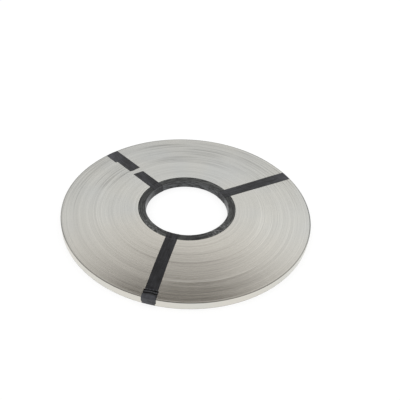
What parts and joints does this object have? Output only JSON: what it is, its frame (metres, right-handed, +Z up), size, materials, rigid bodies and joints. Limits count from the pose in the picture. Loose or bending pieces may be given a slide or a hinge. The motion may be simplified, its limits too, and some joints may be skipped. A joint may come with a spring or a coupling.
{
  "type": "nichrome strip roll",
  "caption": "Flat disc roll of bright nichrome resistance strip wound edge-up on a black tape-wrapped core ring and bound by black adhesive tape, lying on its side",
  "frame": {"origin": "on the roll's axis, at the level of the ground it lies on", "axes": "+Z up along the roll's axis; +X to the right and -Y towards the viewer of the front tape"},
  "size_m": [0.41, 0.41, 0.0125],
  "materials": {
    "strip": "bright annealed strip edges, fine concentric lines",
    "core": "black tape wrap, semi-gloss, scuffed",
    "tape": "black PVC adhesive tape, semi-gloss"
  },
  "bodies": {
    "root": {"strip_coil": "strip", "core_ring": "core", "tape_band_right": "tape", "tape_band_left": "tape", "tape_band_front": "tape", "tape_patch_left": "tape"}
  },
  "joints": []
}
